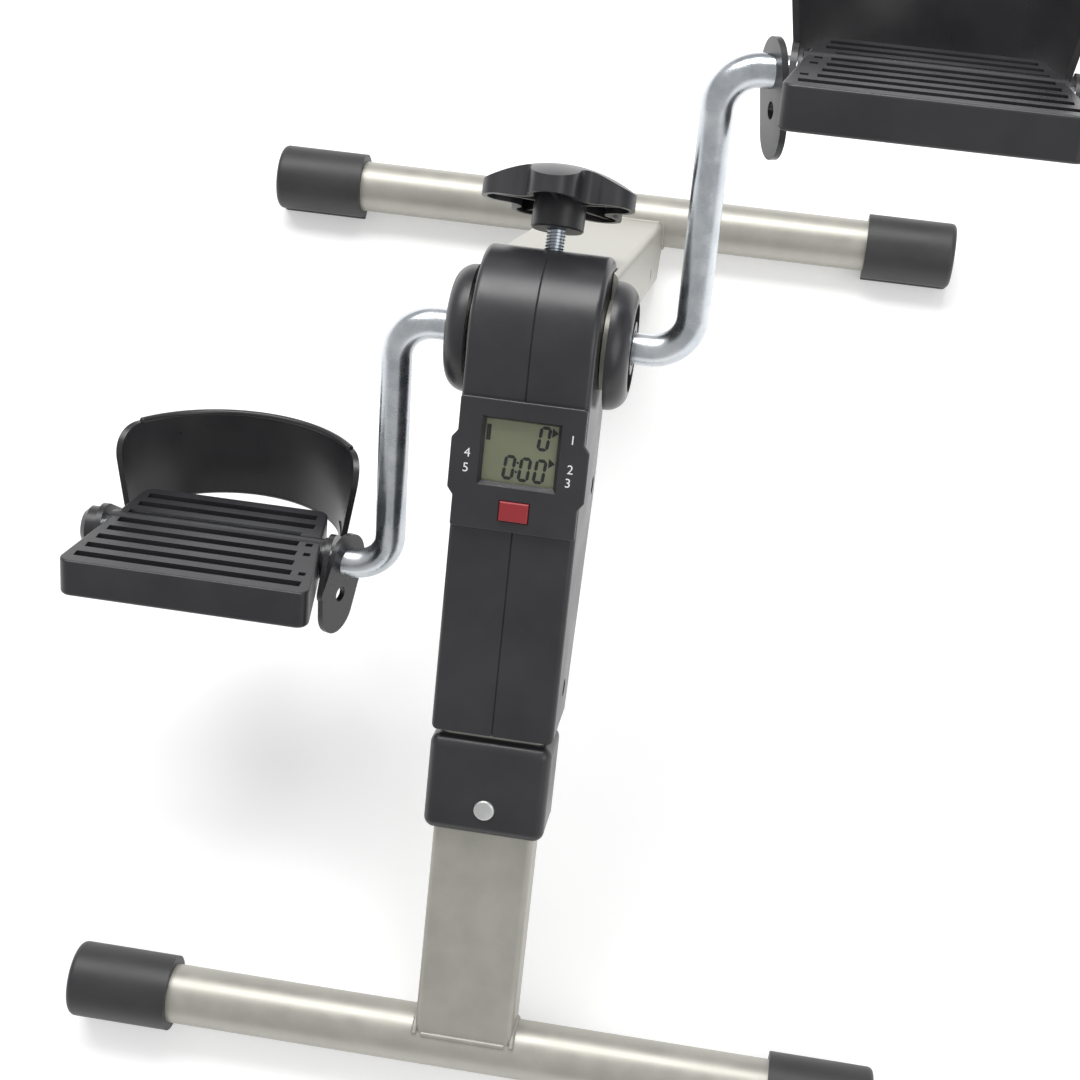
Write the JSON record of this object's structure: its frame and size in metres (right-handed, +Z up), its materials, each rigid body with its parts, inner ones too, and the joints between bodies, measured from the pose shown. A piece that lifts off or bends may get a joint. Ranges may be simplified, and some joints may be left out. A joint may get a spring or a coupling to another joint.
{
  "type": "pedal exerciser",
  "caption": "Folding floor-standing pedal exerciser with opposed cranks, strapped pedals, a star knob for resistance and a small display with a button.",
  "frame": {"origin": "on the floor, midway between the left and right sides and between the front of the front feet and the back of the rear feet", "axes": "+Z up, +Y from the user's side to the far side, +X to the user's right; the crank axle runs along X"},
  "size_m": [0.3874, 0.4554, 0.3305],
  "materials": {
    "silver_paint": "satin metallic paint",
    "black_rubber": "matte",
    "black_plastic": "fine grained",
    "zinc": "bright zinc",
    "dark_steel": "plain",
    "lens": "clear",
    "lcd": "reflective display film",
    "board": "coated",
    "cell": "plain",
    "red_button": "soft gloss",
    "nylon": "smooth",
    "lining": "pressed felt",
    "magnet": "plain",
    "sensor": "moulded"
  },
  "bodies": {
    "front_frame": {"front_leg": "silver_paint", "front_cross_bar": "silver_paint", "front_foot_left": "black_rubber", "front_foot_right": "black_rubber", "housing_left": "black_plastic", "housing_right": "black_plastic", "housing_screws": "dark_steel", "leg_sleeve": "black_plastic", "sleeve_rivet": "dark_steel", "display_bezel": "black_plastic", "display_lens": "lens", "lcd_panel": "lcd", "display_board": "board", "coin_cell": "cell", "button_pad": "black_rubber", "reed_sensor": "sensor", "axle_bush_left": "nylon", "axle_bush_right": "nylon", "hub_cover_left": "black_plastic", "hub_cover_right": "black_plastic", "stud_nut": "zinc"},
    "rear_frame": {"rear_leg": "silver_paint", "rear_cross_bar": "silver_paint", "rear_foot_left": "black_rubber", "rear_foot_right": "black_rubber"},
    "crankset": {"crank_left": "zinc", "crank_right": "zinc", "friction_drum": "nylon", "drum_magnet": "magnet", "spindle_washer_left": "black_plastic", "spindle_washer_right": "black_plastic", "spindle_cap_left": "black_plastic", "spindle_cap_right": "black_plastic"},
    "pedal_left_body": {"pedal_left": "black_plastic", "strap_left": "black_plastic"},
    "pedal_right_body": {"pedal_right": "black_plastic", "strap_right": "black_plastic"},
    "brake": {"brake_shoe": "nylon", "brake_lining": "lining"},
    "knob": {"tension_knob": "black_plastic", "knob_stud": "zinc"},
    "button": {"mode_button": "red_button"}
  },
  "joints": [
    {"name": "rear_leg_fold", "type": "hinge", "parent": "front_frame", "child": "rear_frame", "pos_m": [0, 0.03501, 0.1992], "axis": [-1, 0, 0], "range_deg": [0, 85]},
    {"name": "crank_turn", "type": "hinge", "parent": "front_frame", "child": "crankset", "pos_m": [0, 0.03501, 0.1992], "axis": [1, 0, 0], "continuous": true},
    {"name": "pedal_left_turn", "type": "hinge", "parent": "crankset", "child": "pedal_left_body", "pos_m": [-0.1346, -0.03464, 0.10644], "axis": [1, 0, 0], "continuous": true},
    {"name": "pedal_right_turn", "type": "hinge", "parent": "crankset", "child": "pedal_right_body", "pos_m": [0.1346, 0.10466, 0.29196], "axis": [1, 0, 0], "continuous": true},
    {"name": "shoe_slide", "type": "slide", "parent": "front_frame", "child": "brake", "axis": [0, 0.9205, 0.3907], "range_m": [-0.00021, 0.0025]},
    {"name": "knob_turn", "type": "hinge", "parent": "brake", "child": "knob", "pos_m": [0, 0.03501, 0.1992], "axis": [0, 0.9205, 0.3907], "range_deg": [-60, 720]},
    {"name": "button_press", "type": "slide", "parent": "front_frame", "child": "button", "axis": [0, 0.6428, -0.766], "range_m": [0, 0.001], "stiffness_N_per_m": 400}
  ],
  "couplings": [
    {"joint": "shoe_slide", "follows": "knob_turn", "m_per_rad": 0.00019894}
  ]
}
